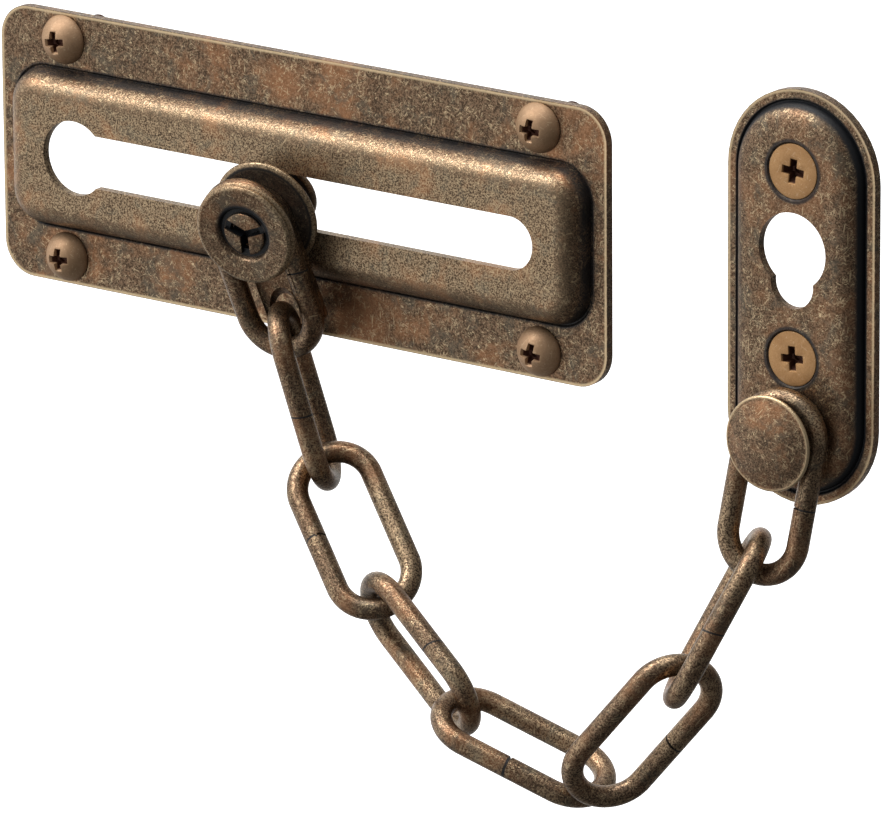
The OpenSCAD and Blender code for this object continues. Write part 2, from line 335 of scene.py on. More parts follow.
# Each set of hairs has its direction in degrees and an offset that keeps it apart from the others.
hair_ways = (((12, 24, 10), (0.1, 0, 0)), ((30, -52, 20), (0.4, 0.2, 0)),
             ((0, 95, 25), (0, 0.5, 0.3)), ((20, -8, 40), (0.2, 0.3, 0.6)))
hair_stretch = (7, 1, 1)
hair_sets = []
for angles, offset in hair_ways:
    hair_place = moved(tumbled, place, offset, hair_stretch, angles)
    hair_sets.append(ramp(tumbled, noise(tumbled, hair_place, 3800, 1), 0.68, 0.76))
hairs = hair_sets[0]
for hair_set in hair_sets[1:]:
    hairs = larger(tumbled, hairs, hair_set)
tumbled.links.new(hairs, tumbled_out.inputs["Hairs"])
grain = ramp(tumbled, noise(tumbled, place, 4600, 3, 0.3), 0.38, 0.64)
tumbled.links.new(grain, tumbled_out.inputs["Grain"])
warm_place = moved(tumbled, place, (0.7, 0.3, 0.9))
warmth = ramp(tumbled, noise(tumbled, warm_place, 110, 7, 0.4, 0.66), 0.46, 0.66)
tumbled.links.new(warmth, tumbled_out.inputs["Warmth"])
patina_place = moved(tumbled, place, (0.2, 0.8, 0.5))
patina = ramp(tumbled, noise(tumbled, patina_place, 260, 7, 0.6, 0.68), 0.50, 0.66)
tumbled.links.new(patina, tumbled_out.inputs["Patina"])

# Distance in metres from a rounded outline drawn on X and Z, negative inside it.
outline, outline_in, outline_out = group_tree(
    "outline_distance",
    {"Place": "Vector", "Half X": "Float", "Half Z": "Float", "Corner": "Float"}, {"Distance": "Float"})
outline_xyz = outline.nodes.new("ShaderNodeSeparateXYZ")
outline.links.new(outline_in.outputs["Place"], outline_xyz.inputs[0])
beyond = []
for axis, half in (("X", "Half X"), ("Z", "Half Z")):
    away = sums(outline, "ABSOLUTE", outline_xyz.outputs[axis])
    across = sums(outline, "SUBTRACT", away, outline_in.outputs[half])
    beyond.append(sums(outline, "ADD", across, outline_in.outputs["Corner"]))
outside = [larger(outline, value, 0.0) for value in beyond]
squared = times(outline, outside[1], outside[1])
squared = sums(outline, "MULTIPLY_ADD", outside[0], outside[0], squared)
inside = sums(outline, "MINIMUM", larger(outline, beyond[0], beyond[1]), 0.0)
reach = sums(outline, "ADD", sums(outline, "SQRT", squared), inside)
distance = sums(outline, "SUBTRACT", reach, outline_in.outputs["Corner"])
outline.links.new(distance, outline_out.inputs["Distance"])


def tone(tree, base, colour, amount):
    """Lays a colour over the base, as much as the mask says."""
    node = tree.nodes.new("ShaderNodeMix")
    node.data_type = "RGBA"
    node.inputs["B"].default_value = (*colour, 1)
    if isinstance(base, tuple):
        node.inputs["A"].default_value = (*base, 1)
    else:
        tree.links.new(base, node.inputs["A"])
    tree.links.new(amount, node.inputs["Factor"])
    return node.outputs["Result"]


copper = (0.42, 0.195, 0.090)
gold = (0.80, 0.62, 0.38)
patina_colour = (0.110, 0.098, 0.074)
# Black for the antiquing left in creases and seams, also used as painted shade.
stain_and_shade_colour = (0.006, 0.007, 0.009)


def antique_brass(name, dark=(0.072, 0.047, 0.030), mid=(0.235, 0.152, 0.094), warmth=0.55, curls=0.75,
                  rubbed=None, stain_and_shade=None, rough=0.40):
    """Antiqued and tumbled brass. rubbed builds a mask for bright edges; the black mask is antiquing left in
    creases and seams, and painted shade where parts shade each other.
    """
    finish = bpy.data.materials.new(name)
    finish.use_nodes = True
    tree = finish.node_tree
    shader = tree.nodes["Principled BSDF"]
    place = tree.nodes.new("ShaderNodeTexCoord").outputs["Object"]
    marks = tree.nodes.new("ShaderNodeGroup")
    marks.node_tree = tumbled
    tree.links.new(place, marks.inputs["Place"])
    colour = tone(tree, dark, mid, marks.outputs["Grain"])
    colour = tone(tree, colour, copper, times(tree, marks.outputs["Warmth"], warmth))
    colour = tone(tree, colour, patina_colour, times(tree, marks.outputs["Patina"], 0.6))
    gold_mask = larger(tree, times(tree, marks.outputs["Curls"], curls),
                     times(tree, marks.outputs["Hairs"], 0.45))
    if rubbed:
        gold_mask = larger(tree, gold_mask, rubbed(tree, place, marks))
    colour = tone(tree, colour, gold, gold_mask)
    roughness = sums(tree, "MULTIPLY_ADD", marks.outputs["Grain"], -0.10, rough + 0.05)
    metal = 0.92
    shader.inputs["Metallic"].default_value = metal
    shader.inputs["Specular IOR Level"].default_value = 0.3
    # The black mask lays antiquing black, and in some parts painted shade, and takes the metal away.
    if stain_and_shade:
        black = stain_and_shade(tree, place, marks)
        colour = tone(tree, colour, stain_and_shade_colour, black)
        unblackened = sums(tree, "SUBTRACT", 1.0, black)
        tree.links.new(times(tree, unblackened, metal), shader.inputs["Metallic"])
        roughness = sums(tree, "MULTIPLY_ADD", black, 0.05, roughness)
    tree.links.new(colour, shader.inputs["Base Color"])
    tree.links.new(roughness, shader.inputs["Roughness"])
    height = sums(tree, "MULTIPLY_ADD", marks.outputs["Curls"], -0.5, marks.outputs["Grain"])
    bump = tree.nodes.new("ShaderNodeBump")
    bump.inputs["Strength"].default_value = 0.35
    bump.inputs["Distance"].default_value = 0.03 * mm
    tree.links.new(height, bump.inputs["Height"])
    tree.links.new(bump.outputs["Normal"], shader.inputs["Normal"])
    return finish


def outline_mask(tree, place, half_x, half_z, corner, low, high, to_low, to_high, centre=(0, 0, 0)):
    """A mask from the distance to a rounded outline."""
    node = tree.nodes.new("ShaderNodeGroup")
    node.node_tree = outline
    tree.links.new(moved(tree, place, centre), node.inputs["Place"])
    for socket, number in (("Half X", half_x), ("Half Z", half_z), ("Corner", corner)):
        node.inputs[socket].default_value = number
    return ramp(tree, node.outputs["Distance"], low, high, to_low, to_high)


def track_mask(tree, place, low, high, to_low, to_high):
    """A mask from the distance to the track plate's rim, in millimetres."""
    return outline_mask(tree, place, track_half_x, track_half_z, track_corner,
                        low * mm, high * mm, to_low, to_high)


def pan_mask(tree, place, low, high, to_low, to_high, inset=0):
    """A mask from the distance to the pan's outline, or to a smaller one inside it."""
    return outline_mask(tree, place, pan_half_x - inset, pan_half_z - inset, pan_corner - inset,
                        low * mm, high * mm, to_low, to_high)


def track_rubbed(tree, place, marks):
    """Bright along the rim, fainter on the shoulder's top and on the edge of the flat."""
    rim_in = track_mask(tree, place, -0.55, -0.2, 0, 1)
    rim_out = track_mask(tree, place, -0.12, -0.03, 1, 0)
    rim = times(tree, times(tree, rim_in, rim_out), 0.7)
    rise = pan_mask(tree, place, 0, 1.3, 1, 0, shoulder_inset)
    fall = pan_mask(tree, place, -1.8, -0.2, 0, 1, shoulder_inset)
    shoulder = times(tree, times(tree, rise, fall), 0.10)
    flat = pan_mask(tree, place, -3.2, -2.2, 0.30, 0)
    flat = times(tree, flat, marks.outputs["Grain"])
    return larger(tree, larger(tree, rim, shoulder), flat)


def track_stained(tree, place, marks):
    """Black in the crease round the pan, scuffed in patches."""
    near = pan_mask(tree, place, -0.55, -0.05, 0, 1)
    far = pan_mask(tree, place, 0.55, 1.0, 1, 0)
    crease = times(tree, near, far)
    patches = ramp(tree, noise(tree, place, 300, 4), 0.45, 0.6)
    scuffed = times(tree, marks.outputs["Grain"], patches)
    return times(tree, crease, sums(tree, "MULTIPLY_ADD", scuffed, -0.35, 0.93))


track_brass = antique_brass("track_plate_brass", rubbed=track_rubbed, stain_and_shade=track_stained)

groove = 0.6 * mm
track = rounded_blank("pan_blank", pan_half_x + groove, pan_half_z + groove, pan_corner + groove, sheet)
rim_blank = rounded_blank("rim_blank", track_half_x, track_half_z, track_corner, sheet)
rim_blank.select_set(True)
track.select_set(True)
bpy.context.view_layer.objects.active = track
bpy.ops.object.join()
track.name = "track_plate_pressed"
bpy.ops.object.mode_set(mode="EDIT")
pick("FACE", lambda face: True)
bpy.ops.mesh.delete(type="ONLY_FACE")
pick("EDGE", lambda edge: True)
bpy.ops.mesh.bridge_edge_loops()
pick("EDGE", lambda edge: edge.is_boundary
     and max(abs(vert.co.x) for vert in edge.verts) < pan_half_x + 1 * mm
     and max(abs(vert.co.z) for vert in edge.verts) < pan_half_z + 1 * mm)
bpy.ops.mesh.edge_face_add()
bpy.ops.mesh.select_all(action="SELECT")
bpy.ops.mesh.normals_make_consistent(inside=False)
pan_area = 3 * pan_half_x * pan_half_z
pick("FACE", lambda face: face.calc_area() > pan_area)
press_shoulder(pan_run, track_high.y - track_low.y - sheet, groove, 0.25 * mm)
shape = bmesh.from_edit_mesh(track.data)
outward = sum(face.normal.y * face.calc_area() for face in shape.faces)
if outward > 0:
    bpy.ops.mesh.select_all(action="SELECT")
    bpy.ops.mesh.flip_normals()
bpy.ops.object.mode_set(mode="OBJECT")
finish_modifier(track, "SOLIDIFY", thickness=sheet, offset=-1, use_even_offset=True)
flatten_back(track)

slot_cutter = rounded_blank("slot_cutter", (slot_end_x - keyhole_x + 2 * slot_half) / 2, slot_half,
                            slot_half - 0.01 * mm, 8 * mm)
slot_cutter.location.x = (slot_end_x + keyhole_x) / 2
finish_modifier(slot_cutter, "SOLIDIFY", thickness=12 * mm, offset=-1)
bpy.ops.object.transform_apply()
cut(track, slot_cutter)
drill(track, keyhole_x, 0, keyhole_r, sides=80)
screw_names = ["track_screw_upper_left", "track_screw_upper_right", "track_screw_lower_left",
               "track_screw_lower_right"]
screw_places = {}
for screw_name in screw_names:
    low, high = (Vector(corner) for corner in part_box(screw_name))
    screw_places[screw_name] = ((low.x + high.x) / 2, (low.z + high.z) / 2)
    drill(track, *screw_places[screw_name], screw_hole_r, sides=32)
soften_edges(track, 0.16 * mm)
track.data.materials.append(track_brass)
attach(track, "plates")
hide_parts("track_plate")


# The four track screws: No. 6 pan heads with a Phillips recess, plated a satin yellow brown that is
# left redder and darker in the recess. The shanks are threaded and run back into the door.
# These sizes and the turned profiles below are in millimetres.
pan_head_r = 3.3
pan_head_h = 2.5
core_r = 1.3
thread_r = 0.42
thread_pitch = 1.25
thread_start = 1.5
shank_back = 8


def turned(name, profile, sides=64, ring=False):
    """Turns a piece about Z from radius and height points in millimetres, ring after ring."""
    bpy.ops.object.select_all(action="DESELECT")
    bpy.ops.mesh.primitive_circle_add(vertices=sides, radius=profile[0][0] * mm, fill_type="NOTHING",
                                      location=(0, 0, profile[0][1] * mm))
    piece = bpy.context.object
    piece.name = name
    bpy.ops.object.transform_apply()
    bpy.ops.object.mode_set(mode="EDIT")
    bpy.ops.mesh.select_mode(type="VERT")
    bpy.ops.mesh.select_all(action="SELECT")
    for before, after in zip(profile, profile[1:]):
        grow = after[0] / before[0]
        step_up = (0, 0, (after[1] - before[1]) * mm)
        bpy.ops.mesh.extrude_region_move(TRANSFORM_OT_translate={"value": step_up})
        bpy.ops.transform.resize(value=(grow, grow, 1), center_override=(0, 0, after[1] * mm))
    if ring:
        pick("EDGE", lambda edge: edge.is_boundary)
        bpy.ops.mesh.bridge_edge_loops()
    else:
        bpy.ops.mesh.select_all(action="SELECT")
        bpy.ops.mesh.fill_holes(sides=0)
    bpy.ops.mesh.select_all(action="SELECT")
    bpy.ops.mesh.remove_doubles(threshold=0.003 * mm)
    bpy.ops.mesh.normals_make_consistent(inside=False)
    bpy.ops.object.mode_set(mode="OBJECT")
    return piece


def bend(centre_r, centre_h, radius, start, stop, steps=6):
    """Profile points on an arc, from start to stop degrees."""
    angles = [math.radians(start + (stop - start) * step / steps) for step in range(steps + 1)]
    return [(centre_r + radius * math.cos(angle), centre_h + radius * math.sin(angle)) for angle in angles]


def put(piece, matrix):
    """Moves a finished piece into place, with the place in its mesh."""
    only(piece)
    piece.matrix_world = matrix @ piece.matrix_world
    bpy.ops.object.transform_apply()


def phillips(piece, face_h, wide, deep):
    """Punches a cross recess into a head that faces +Z, with flared arms that slope to a deep middle."""
    for angle in (0, 90):
        bpy.ops.object.select_all(action="DESELECT")
        bpy.ops.mesh.primitive_cube_add(size=1, location=(0, 0, (face_h + (0.3 - deep) / 2) * mm))
        arm = bpy.context.object
        arm.scale = (wide * mm, 0.62 * mm, (deep + 0.3) * mm)
        bpy.ops.object.transform_apply()
        bpy.ops.object.mode_set(mode="EDIT")
        pick("VERT", lambda vert: True)
        bpy.ops.mesh.bisect(plane_co=(0.3 * mm, 0, 0), plane_no=(1, 0, 0))
        pick("VERT", lambda vert: True)
        bpy.ops.mesh.bisect(plane_co=(-0.3 * mm, 0, 0), plane_no=(1, 0, 0))
        pick("VERT", lambda vert: abs(vert.co.x) > 1 * mm)
        bpy.ops.transform.resize(value=(1, 1.75, 1), center_override=(0, 0, 0))
        pick("VERT", lambda vert: abs(vert.co.x) > 1 * mm and vert.co.z < face_h * mm)
        bpy.ops.transform.resize(value=(0.45, 0.7, 1), center_override=(0, 0, 0))
        bpy.ops.object.mode_set(mode="OBJECT")
        arm.rotation_euler.z = math.radians(angle)
        bpy.ops.object.transform_apply()
        cut(piece, arm)
    bpy.ops.object.select_all(action="DESELECT")
    bpy.ops.mesh.primitive_cone_add(vertices=20, radius1=0.4 * mm, radius2=0.92 * mm,
                                    depth=(deep + 0.9) * mm,
                                    location=(0, 0, (face_h + (0.5 - deep - 0.4) / 2) * mm))
    bpy.ops.object.transform_apply()
    cut(piece, bpy.context.object)


def threaded_shank(name, top_h, bottom_h):
    """A wood screw's shank down from top_h to its point at bottom_h, with a wound thread."""
    core = turned(name, [(core_r, top_h), (core_r, bottom_h + 2), (1.1, bottom_h + 1.2),
                         (0.6, bottom_h + 0.4), (0.06, bottom_h)], 32)
    tooth_place = (core_r * mm, 0, (bottom_h + thread_start) * mm)
    bpy.ops.object.select_all(action="DESELECT")
    bpy.ops.mesh.primitive_circle_add(vertices=3, radius=thread_r * mm, fill_type="NOTHING",
                                      rotation=(math.radians(90), 0, 0), location=tooth_place)
    tooth = bpy.context.object
    bpy.ops.object.transform_apply(location=False)
    bpy.ops.object.mode_set(mode="EDIT")
    pick("VERT", lambda vert: True)
    bpy.ops.transform.rotate(value=math.radians(-90), orient_axis="Y", center_override=tooth_place)
    bpy.ops.object.mode_set(mode="OBJECT")
    bpy.ops.object.transform_apply()
    turns = int((top_h - bottom_h - 2.2) / thread_pitch)
    finish_modifier(tooth, "SCREW", axis="Z", angle=math.radians(360), screw_offset=thread_pitch * mm,
                    iterations=turns, steps=28, render_steps=28, use_merge_vertices=False)
    bpy.ops.object.mode_set(mode="EDIT")
    bpy.ops.mesh.select_all(action="SELECT")
    bpy.ops.mesh.remove_doubles(threshold=0.002 * mm)
    bpy.ops.mesh.fill_holes(sides=0)
    bpy.ops.mesh.select_all(action="SELECT")
    bpy.ops.mesh.normals_make_consistent(inside=False)
    bpy.ops.object.mode_set(mode="OBJECT")
    core.select_set(True)
    bpy.context.view_layer.objects.active = core
    bpy.ops.object.join()
    return core


def off_screws(tree, place, middle, spacing):
    """How far a place lies off the nearest of a pattern of screws, set by half spacings on X and Z."""
    split = tree.nodes.new("ShaderNodeSeparateXYZ")
    tree.links.new(place, split.inputs[0])
    across = []
    for axis, centre, half in (("X", middle[0], spacing[0]), ("Z", middle[1], spacing[1])):
        away = sums(tree, "ABSOLUTE", sums(tree, "SUBTRACT", split.outputs[axis], centre))
        across.append(sums(tree, "SUBTRACT", away, half))
    square = sums(tree, "MULTIPLY_ADD", across[0], across[0], times(tree, across[1], across[1]))
    return sums(tree, "SQRT", square), split.outputs["Y"]


def satin_plate(name, base, shade, recess, sunk, middle, spacing):
    """Satin plating, faintly clouded, with the recess stained red brown."""
    finish = bpy.data.materials.new(name)
    finish.use_nodes = True
    tree = finish.node_tree
    shader = tree.nodes["Principled BSDF"]
    place = tree.nodes.new("ShaderNodeTexCoord").outputs["Object"]
    marks = tree.nodes.new("ShaderNodeGroup")
    marks.node_tree = tumbled
    tree.links.new(place, marks.inputs["Place"])
    clouds = larger(tree, marks.outputs["Warmth"], times(tree, marks.outputs["Patina"], 0.6))
    colour = tone(tree, base, shade, clouds)
    colour = tone(tree, colour, shade, times(tree, marks.outputs["Grain"], 0.35))
    colour = tone(tree, colour, (0.9, 0.72, 0.48), times(tree, marks.outputs["Hairs"], 0.2))
    off, depth = off_screws(tree, place, middle, spacing)
    cross = times(tree, ramp(tree, depth, *sunk), ramp(tree, off, 1.82 * mm, 1.98 * mm, 1, 0))
    colour = tone(tree, colour, recess, cross)
    tree.links.new(colour, shader.inputs["Base Color"])
    shader.inputs["Metallic"].default_value = 0.55
    roughness = sums(tree, "MULTIPLY_ADD", marks.outputs["Grain"], 0.08, 0.52)
    tree.links.new(roughness, shader.inputs["Roughness"])
    bump = tree.nodes.new("ShaderNodeBump")
    bump.inputs["Strength"].default_value = 0.2
    bump.inputs["Distance"].default_value = 0.02 * mm
    tree.links.new(marks.outputs["Grain"], bump.inputs["Height"])
    tree.links.new(bump.outputs["Normal"], shader.inputs["Normal"])
    return finish


screw_x, screw_z = (abs(value) for value in screw_places["track_screw_upper_left"])
pan_plating = satin_plate("track_screw_plating", (0.44, 0.28, 0.165), (0.32, 0.20, 0.11),
                          (0.055, 0.016, 0.007), (-3.15 * mm, -2.9 * mm), (0, 0), (screw_x, screw_z))
dome_r = (pan_head_r ** 2 + pan_head_h ** 2) / (2 * pan_head_h)
dome_start = math.degrees(math.asin((dome_r - pan_head_h) / dome_r)) + 3
dome_arc = bend(0, pan_head_h - dome_r, dome_r, dome_start, 89, 12)
pan_model = turned("pan_screw", [(core_r, 0), (3.05, 0), (3.22, 0.08)] + dome_arc, 64)
phillips(pan_model, pan_head_h, 3.8, 1.35)
soften_edges(pan_model, 0.06 * mm, 50)
pan_shank = threaded_shank("pan_shank", 0.3, -1.2 - shank_back)
only(pan_model)
pan_shank.select_set(True)
bpy.ops.object.join()
only(pan_model)
pan_model.data.materials.append(pan_plating)
lie_back = Matrix.Rotation(math.radians(90), 4, "X")
for screw_name, angle in zip(screw_names, (7, -5, 3, -8)):
    screw = bpy.data.objects.new(screw_name + "_threaded", pan_model.data.copy())
    bpy.context.scene.collection.objects.link(screw)
    x, z = screw_places[screw_name]
    put(screw, Matrix.Translation((x, -sheet, z)) @ lie_back
        @ Matrix.Rotation(math.radians(angle), 4, "Z"))
    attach(screw, "plates")
    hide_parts(screw_name)
bpy.data.objects.remove(pan_model)


# The keeper plate: the same sheet pressed into an obround with a low raised centre. Two screw seats
# are dished into it, and a small keyhole between them parks the chain.
keeper_low, keeper_high = (Vector(corner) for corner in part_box("keeper_plate"))
keeper_x = (keeper_low.x + keeper_high.x) / 2
keeper_z = (keeper_low.z + keeper_high.z) / 2
keeper_half_x = (keeper_high.x - keeper_low.x) / 2
keeper_half_z = (keeper_high.z - keeper_low.z) / 2
keeper_top = keeper_high.y - keeper_low.y
boss_half_x = 9 * mm
boss_half_z = keeper_half_z - 1.8 * mm
boss_run = 3.5 * mm
# Heights and radii of the keyhole's two lobes
lobes = ((5.4 * mm, 4.9 * mm), (1.2 * mm, 3.1 * mm))
seat_r = 3.75 * mm


def keeper_mask(tree, place, half_x, half_z, low, high, to_low, to_high):
    """A mask from the distance to an obround about the keeper's middle, in millimetres."""
    return outline_mask(tree, place, half_x, half_z, half_x, low * mm, high * mm, to_low, to_high,
                        (keeper_x, 0, keeper_z))


def keeper_rubbed(tree, place, marks):
    """Bright along the rim."""
    rim_in = keeper_mask(tree, place, keeper_half_x, keeper_half_z, -0.5, -0.2, 0, 0.6)
    rim_out = keeper_mask(tree, place, keeper_half_x, keeper_half_z, -0.12, -0.03, 1, 0)
    return times(tree, rim_in, rim_out)


def keeper_stain_and_seat_shade(tree, place, marks):
    """Black antiquing in the crease round the raised centre, and painted shade in the dished seats under the
    screw heads' rims.
    """
    near = keeper_mask(tree, place, boss_half_x, boss_half_z, -0.7, -0.15, 0, 1)
    far = keeper_mask(tree, place, boss_half_x, boss_half_z, 0.5, 0.85, 1, 0)
    off = off_screws(tree, place, seat_middle, seat_spacing)[0]
    # Painted shade: the dished seats are blackened within 3.9 mm of each screw's axis, fading out by 4.3 mm,
    # where the heads shade them.
    seat_shade = ramp(tree, off, 3.9 * mm, 4.3 * mm, 0.85, 0)
    return larger(tree, times(tree, near, far), seat_shade)


seat_heights = []
for screw_name in ("keeper_screw_upper", "keeper_screw_lower"):
    low, high = (Vector(corner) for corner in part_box(screw_name))
    seat_heights.append((low.z + high.z) / 2)
seat_middle = (keeper_x, (seat_heights[0] + seat_heights[1]) / 2)
seat_spacing = (0, (seat_heights[0] - seat_heights[1]) / 2)
keeper_brass = antique_brass("keeper_plate_brass", warmth=0.3, rubbed=keeper_rubbed, stain_and_shade=keeper_stain_and_seat_shade)
keeper = rounded_blank("keeper_plate_pressed", keeper_half_x, keeper_half_z,
                       keeper_half_x - 0.002 * mm, sheet)
bpy.ops.object.mode_set(mode="EDIT")
pick("FACE", lambda face: True)
bpy.ops.mesh.inset(thickness=keeper_half_x - boss_half_x - groove, depth=0)
press_shoulder(boss_run, keeper_top - sheet, groove, 0.3 * mm)
bpy.ops.object.mode_set(mode="OBJECT")
finish_modifier(keeper, "SOLIDIFY", thickness=sheet, offset=-1, use_even_offset=True)
flatten_back(keeper)
put(keeper, Matrix.Translation((keeper_x, 0, keeper_z)))
for height in seat_heights:
    bpy.ops.object.select_all(action="DESELECT")
    bpy.ops.mesh.primitive_cone_add(vertices=48, radius1=4.55 * mm, radius2=2.7 * mm, depth=2.5 * mm,
                                    rotation=(math.radians(-90), 0, 0),
                                    location=(keeper_x, -1.87 * mm, height))
    bpy.ops.object.transform_apply()
    cut(keeper, bpy.context.object, "UNION")
    drill(keeper, keeper_x, height, seat_r, -3.21, -1.1, screw_hole_r, 64)
    drill(keeper, keeper_x, height, screw_hole_r, -4, 3, None, 48)
for height, radius in lobes:
    drill(keeper, keeper_x, height, radius)
soften_edges(keeper, 0.14 * mm)
keeper.data.materials.append(keeper_brass)
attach(keeper, "plates")
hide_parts("keeper_plate")


# The two keeper screws: No. 6 countersunk heads, plated brighter than the track's, sitting just
# below the rim of their dished seats.
seat_plating = satin_plate("keeper_screw_plating", (0.46, 0.265, 0.115), (0.34, 0.18, 0.07),
                           (0.05, 0.015, 0.006), (-3.04 * mm, -2.8 * mm), seat_middle, seat_spacing)
csk_profile = [(core_r, -0.1), (1.75, 0.05), (3.32, 1.75), (3.5, 1.86), (3.48, 1.97), (3.36, 2.0),
               (2.2, 2.02), (0.3, 2.03)]
csk_model = turned("csk_screw", csk_profile, 64)
phillips(csk_model, 2.02, 3.6, 1.25)
soften_edges(csk_model, 0.05 * mm, 50)
csk_shank = threaded_shank("csk_shank", 0.2, -1.08 - shank_back)
only(csk_model)
csk_shank.select_set(True)
bpy.ops.object.join()
only(csk_model)
csk_model.data.materials.append(seat_plating)
for screw_name, height, angle in zip(("keeper_screw_upper", "keeper_screw_lower"), seat_heights, (-6, 4)):
    screw = bpy.data.objects.new(screw_name + "_threaded", csk_model.data.copy())
    bpy.context.scene.collection.objects.link(screw)
    put(screw, Matrix.Translation((keeper_x, -1.07 * mm, height)) @ lie_back
        @ Matrix.Rotation(math.radians(angle), 4, "Z"))
    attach(screw, "plates")
    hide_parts(screw_name)
bpy.data.objects.remove(csk_model)


# The keeper stud: turned in one piece, with a wide head whose face is a very shallow cone inside a
# thin bright rim. Its neck goes through the sheet and is spread behind it.
def along_and_off(tree, place, point, axis):
    """How far a place lies along an axis through the point, and how far off it."""
    away = tree.nodes.new("ShaderNodeVectorMath")
    away.operation = "SUBTRACT"
    away.inputs[1].default_value = point
    tree.links.new(place, away.inputs[0])
    along = tree.nodes.new("ShaderNodeVectorMath")
    along.operation = "DOT_PRODUCT"
    along.inputs[1].default_value = axis
    tree.links.new(away.outputs[0], along.inputs[0])
    square = tree.nodes.new("ShaderNodeVectorMath")
    square.operation = "CROSS_PRODUCT"
    square.inputs[1].default_value = axis
    tree.links.new(away.outputs[0], square.inputs[0])
    off = tree.nodes.new("ShaderNodeVectorMath")
    off.operation = "LENGTH"
    tree.links.new(square.outputs[0], off.inputs[0])
    return along.outputs["Value"], off.outputs["Value"]


def stud_rubbed(tree, place, marks):
    """Bright along the head's rim."""
    off = along_and_off(tree, place, (stud_x, 0, stud_z), (0, -1, 0))[1]
    return times(tree, ramp(tree, off, 5.65 * mm, 5.95 * mm), 0.6)


stud_low, stud_high = (Vector(corner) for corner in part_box("keeper_stud"))
stud_x = (stud_low.x + stud_high.x) / 2
stud_z = (stud_low.z + stud_high.z) / 2
stud_brass = antique_brass("keeper_stud_brass", warmth=0.5, curls=0.6, rubbed=stud_rubbed, rough=0.36)
stud_profile = ([(0.3, 1.2), (3.4, 1.2), (3.6, 1.4), (3.6, 1.8), (3.4, 1.98), (1.8, 2.0), (1.8, 7.9),
                 (1.9, 8.0), (5.0, 8.0), (5.9, 8.02)] + bend(5.8, 8.3, 0.3, -80, 80, 6)
                + [(5.72, 8.58), (5.55, 8.6), (5.4, 8.66), (4.4, 9.02), (3.0, 9.42), (1.6, 9.64),
                   (0.3, 9.7)])
stud = turned("keeper_stud_turned", stud_profile, 80)
only(stud)
bpy.ops.object.shade_smooth_by_angle(angle=math.radians(40))
put(stud, Matrix.Translation((stud_x, 0, stud_z)) @ lie_back)
stud.data.materials.append(stud_brass)
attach(stud, "plates")
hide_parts("keeper_stud")


# The slider: a rivet through the slot holds everything. Its flange runs behind the pan, a washer
# runs on the pan's front, then come the tongue and the first link, and the front washer is held by
# the rivet's end, which is split in three and spread in a counterbore.
spin = next(joint for joint in frame["joints"] if joint["name"] == "rivet_spin")
spin_axis = Vector(spin["axis"]).normalized()
slider_yaw = math.atan2(spin_axis.x, -spin_axis.y)
slider_pitch = math.asin(-spin_axis.z)
slider_place = (Matrix.Translation(Vector(spin["pos_m"])) @ Matrix.Rotation(slider_yaw, 4, "Z")
                @ Matrix.Rotation(slider_pitch, 4, "X") @ lie_back)


def slider_rubbed(tree, place, marks):
    """Bright rims of both washers."""
    off = along_and_off(tree, place, Vector(spin["pos_m"]), spin_axis)[1]
    patchy = sums(tree, "MULTIPLY_ADD", marks.outputs["Grain"], 0.3, 0.1)
    rim = times(tree, ramp(tree, off, 6.15 * mm, 6.4 * mm), patchy)
    return times(tree, rim, 0.8)


def slider_antiquing_and_painted_shade(tree, place, marks):
    """Antiquing black and painted shade in the counterbore, its edge reaching higher at the top like a
    shadow; painted shade in the rivet's slots, between the washers and on the rivet behind them.
    """
    point = Vector(spin["pos_m"])
    along, off = along_and_off(tree, place, point, spin_axis)
    # Painted shadow: the outer edge of the counterbore's black is measured from an axis 0.45 mm higher, so
    # the black reaches further at the top.
    shadow_off = along_and_off(tree, place, point + Vector((0.1, 0, 0.45)) * mm, spin_axis)[1]
    ring = times(tree, ramp(tree, off, 2.90 * mm, 3.0 * mm), ramp(tree, shadow_off, 3.5 * mm, 4.15 * mm, 1, 0))
    bore_shade = times(tree, ring, ramp(tree, along, 7.8 * mm, 8.2 * mm))
    # Painted shade in the slots of the rivet's split end.
    slots = ramp(tree, off, 2.9 * mm, 3.0 * mm, 1, 0)
    slots = times(tree, slots, ramp(tree, along, 8.72 * mm, 8.9 * mm, 1, 0))
    # Painted shade on the washers' facing sides and the rivet between them, where the tongue and first link
    # sit.
    between_washers_shade = ramp(tree, along, 3.4 * mm, 3.49 * mm)
    between_washers_shade = times(tree, between_washers_shade, ramp(tree, along, 7.8 * mm, 8.0 * mm, 1, 0))
    between_washers_shade = times(tree, between_washers_shade, ramp(tree, off, 6.7 * mm, 7.1 * mm, 0.95, 0))
    # Painted shade on the rivet's neck and flange behind the washers.
    behind = ramp(tree, along, -1.75 * mm, 2.2 * mm, 0.9, 0.6)
    behind = times(tree, behind, ramp(tree, along, 2.5 * mm, 2.6 * mm, 1, 0))
    behind = times(tree, behind, ramp(tree, off, 3.7 * mm, 4.1 * mm, 1, 0))
    return larger(tree, larger(tree, bore_shade, slots), larger(tree, between_washers_shade, behind))


slider_brass = antique_brass("slider_brass", warmth=0.3, curls=0.5, rubbed=slider_rubbed,
                             stain_and_shade=slider_antiquing_and_painted_shade, rough=0.38)
rivet_profile = ([(0.3, -2.8), (3.9, -2.8)]
                 + bend(3.9, -2.5, 0.3, -60, 0, 2) + bend(3.9, -2.1, 0.3, 0, 80, 3)
                 + [(3.8, -1.8), (2.3, -1.78), (2.3, 3.48), (2.1, 3.55), (2.1, 8.45), (2.8, 8.52),
                    (2.88, 8.6), (2.88, 8.8), (2.80, 8.92), (2.62, 8.98), (1.2, 8.99), (0.2, 9.0)])
rivet = turned("slider_rivet_turned", rivet_profile, 72)
